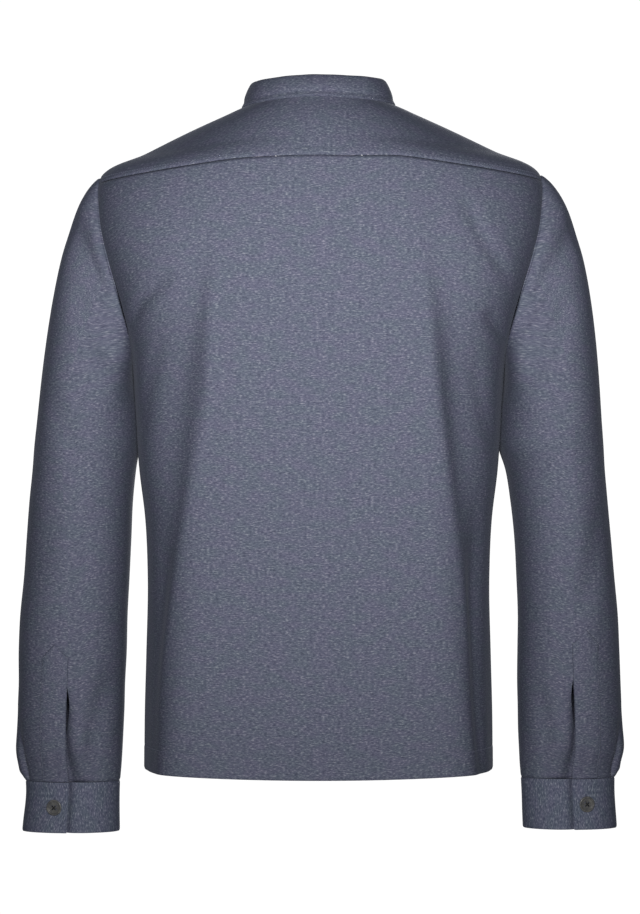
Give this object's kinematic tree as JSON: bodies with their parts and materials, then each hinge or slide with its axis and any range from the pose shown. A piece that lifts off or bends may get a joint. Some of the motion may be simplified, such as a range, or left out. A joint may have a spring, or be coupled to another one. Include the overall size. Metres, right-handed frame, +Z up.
{
  "type": "shirt jacket",
  "caption": "Long-sleeved shirt jacket in melange knit with a band collar, back yoke, button front and buttoned cuffs, filled out as worn.",
  "frame": {"origin": "middle of the neck opening, level with the neck points of the shoulders, where the wearer carries the garment", "axes": "+Z up along the body, +Y to the garment's back, so the buttoned front faces -Y, and +X to the wearer's left"},
  "size_m": [0.6234, 0.2534, 0.772],
  "materials": {
    "melange_jersey": "blue-grey melange pique knit, matt",
    "melange_jersey_cut_across": "the same knit, doubled over an interlining, matt",
    "dark_horn_button": "dark horn-look resin with a rolled rim and four holes"
  },
  "bodies": {
    "root": {"back": "melange_jersey", "yoke": "melange_jersey", "front_left": "melange_jersey", "front_right": "melange_jersey", "front_band": "melange_jersey", "sleeve_left": "melange_jersey", "sleeve_right": "melange_jersey", "placket_left": "melange_jersey", "placket_right": "melange_jersey", "collar": "melange_jersey_cut_across", "cuff_left": "melange_jersey_cut_across", "cuff_right": "melange_jersey_cut_across", "button_front_1": "dark_horn_button", "button_front_2": "dark_horn_button", "button_front_3": "dark_horn_button", "button_front_4": "dark_horn_button", "button_front_5": "dark_horn_button", "button_front_6": "dark_horn_button", "button_collar": "dark_horn_button", "button_cuff_left": "dark_horn_button", "button_cuff_right": "dark_horn_button"}
  },
  "joints": []
}
